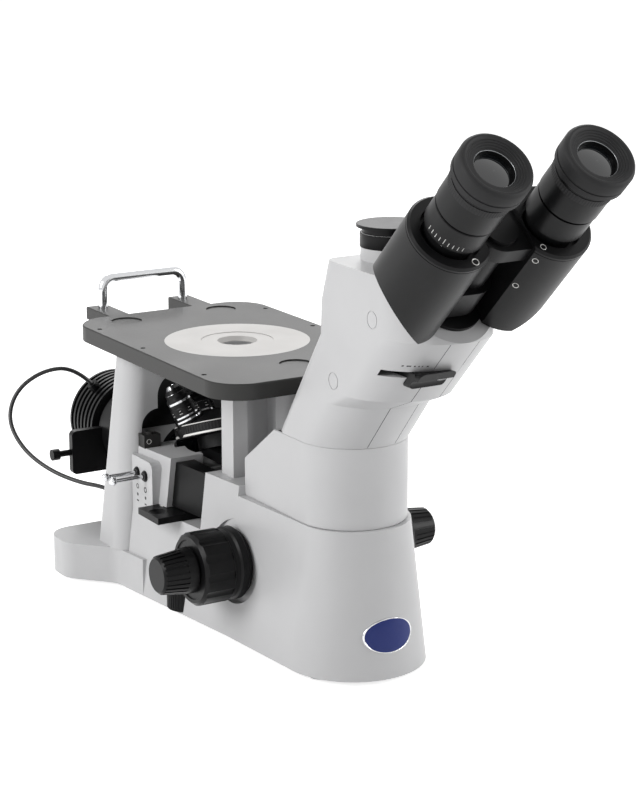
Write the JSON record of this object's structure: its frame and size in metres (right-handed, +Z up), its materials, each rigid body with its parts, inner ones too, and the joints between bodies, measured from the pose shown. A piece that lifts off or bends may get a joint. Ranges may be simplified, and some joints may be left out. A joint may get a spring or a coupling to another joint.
{
  "type": "inverted microscope",
  "caption": "Inverted microscope with a low body, flat stage, tilted nosepiece below it, inclined binocular head with camera port and a finned lamp behind the column.",
  "frame": {"origin": "on the table under the middle of the instrument's box", "axes": "+Z up, the user sits at -Y and looks towards +Y, +X to the user's right"},
  "size_m": [0.2312, 0.6249, 0.4059],
  "materials": {
    "white_enamel": "satin white enamel over cast aluminium",
    "black_enamel": "satin black enamel",
    "black_anodised": "matte black anodised",
    "light_aluminium": "fine turned clear anodised",
    "chrome": "polished chrome plate",
    "steel": "ground steel",
    "black_plastic": "fine textured black plastic",
    "black_rubber": "matte moulded rubber",
    "cable_sheath": "smooth black PVC sheath",
    "clear_glass": "polished coated glass",
    "mirror": "front-silvered glass",
    "brass": "turned brass"
  },
  "bodies": {
    "base_body": {"bottom_plate": "black_enamel", "base_casting": "white_enamel", "rubber_feet": "black_rubber", "rear_column": "white_enamel", "stage_support": "white_enamel", "stage_plate": "black_enamel", "handle_blocks": "black_enamel", "stage_handle": "chrome", "front_cover": "white_enamel", "head_housing": "white_enamel", "head_front_cover": "white_enamel", "trinocular_tube": "white_enamel", "pivot_tube": "black_anodised", "head_prism": "clear_glass", "tube_lens": "clear_glass", "fold_mirrors": "mirror", "beam_splitter": "clear_glass", "focus_guide": "black_anodised", "shaft_bushes": "brass", "lamp_housing": "black_anodised", "lamp_plate": "black_anodised", "heat_sink": "black_anodised", "bulb": "clear_glass", "collector_lens": "clear_glass", "cable_glands": "black_plastic", "lamp_cable": "cable_sheath", "power_inlet": "black_plastic", "window_latch": "black_enamel"},
    "cap_body": {"dust_cap": "black_plastic"},
    "insert_body": {"stage_insert": "light_aluminium"},
    "left_wing_body": {"left_wing": "black_anodised", "left_eyepiece": "black_anodised", "left_eyecup": "black_rubber", "left_eye_lens": "clear_glass"},
    "right_wing_body": {"right_wing": "black_anodised", "right_eyepiece": "black_anodised", "right_eyecup": "black_rubber", "right_eye_lens": "clear_glass"},
    "diopter_body": {"diopter_ring": "black_anodised"},
    "selector_body": {"selector_lever": "black_plastic", "selector_prism": "clear_glass"},
    "carriage_body": {"nosepiece_carriage": "black_anodised", "focus_rack": "brass"},
    "turret_body": {"turret_ring": "black_anodised", "objective_front": "black_anodised", "objective_right": "black_anodised", "objective_rear": "black_anodised", "objective_left": "black_anodised"},
    "coarse_body": {"coarse_shaft": "steel", "coarse_knob_left": "black_plastic", "coarse_knob_right": "black_plastic"},
    "tension_body": {"tension_ring": "black_plastic"},
    "fine_body": {"fine_shaft": "steel", "fine_knob_left": "black_plastic", "fine_knob_right": "black_plastic"},
    "wheel_body": {"brightness_wheel": "black_plastic"},
    "tray_body": {"filter_tray": "black_anodised"},
    "field_lever_body": {"field_diaphragm_lever": "chrome"},
    "aperture_lever_body": {"aperture_diaphragm_lever": "chrome"},
    "clamp_screw_body": {"lamp_clamp_screw": "black_anodised"}
  },
  "joints": [
    {"name": "dust_cap_lift", "type": "slide", "parent": "base_body", "child": "cap_body", "axis": [0, 0, 1], "range_m": [0, 0.025]},
    {"name": "insert_lift", "type": "slide", "parent": "base_body", "child": "insert_body", "axis": [0, 0, 1], "range_m": [0, 0.02]},
    {"name": "right_fold", "type": "hinge", "parent": "base_body", "child": "right_wing_body", "pos_m": [0, -0.293, 0.387], "axis": [0, -0.7071, 0.7071], "range_deg": [0, 43.6]},
    {"name": "left_fold", "type": "hinge", "parent": "base_body", "child": "left_wing_body", "pos_m": [0, -0.293, 0.387], "axis": [0, -0.7071, 0.7071], "range_deg": [-43.6, 0]},
    {"name": "diopter_turn", "type": "hinge", "parent": "left_wing_body", "child": "diopter_body", "pos_m": [-0.038, -0.293, 0.387], "axis": [0, -0.7071, 0.7071], "range_deg": [-60, 60]},
    {"name": "selector_slide", "type": "slide", "parent": "base_body", "child": "selector_body", "axis": [-1, 0, 0], "range_m": [0, 0.012]},
    {"name": "carriage_slide", "type": "slide", "parent": "base_body", "child": "carriage_body", "axis": [0, 0, 1], "range_m": [-0.003, 0.005]},
    {"name": "turret_spin", "type": "hinge", "parent": "carriage_body", "child": "turret_body", "pos_m": [0, 0.11449, 0.13], "axis": [0, 0.342, 0.9397], "continuous": true},
    {"name": "coarse_focus", "type": "hinge", "parent": "base_body", "child": "coarse_body", "pos_m": [0, 0.004, 0.061], "axis": [1, 0, 0], "range_deg": [-21.6, 35.9]},
    {"name": "tension_turn", "type": "hinge", "parent": "base_body", "child": "tension_body", "pos_m": [0.0515, 0.004, 0.061], "axis": [1, 0, 0], "range_deg": [-45, 45]},
    {"name": "fine_focus", "type": "hinge", "parent": "base_body", "child": "fine_body", "pos_m": [0, 0.004, 0.061], "axis": [1, 0, 0], "continuous": true},
    {"name": "brightness_turn", "type": "hinge", "parent": "base_body", "child": "wheel_body", "pos_m": [-0.056, 0.074, 0.012], "axis": [0, 0, 1], "range_deg": [-135, 135]},
    {"name": "tray_slide", "type": "slide", "parent": "base_body", "child": "tray_body", "axis": [-1, 0, 0], "range_m": [0, 0.04]},
    {"name": "field_diaphragm_slide", "type": "slide", "parent": "base_body", "child": "field_lever_body", "axis": [-1, 0, 0], "range_m": [0, 0.012]},
    {"name": "aperture_diaphragm_slide", "type": "slide", "parent": "base_body", "child": "aperture_lever_body", "axis": [-1, 0, 0], "range_m": [0, 0.012]},
    {"name": "lamp_clamp_turn", "type": "hinge", "parent": "base_body", "child": "clamp_screw_body", "pos_m": [-0.07, 0.262, 0.082], "axis": [1, 0, 0], "range_deg": [-180, 180]}
  ],
  "couplings": [
    {"joint": "coarse_focus", "follows": "carriage_slide", "rad_per_m": 125},
    {"joint": "left_fold", "follows": "right_fold", "ratio": -1}
  ]
}
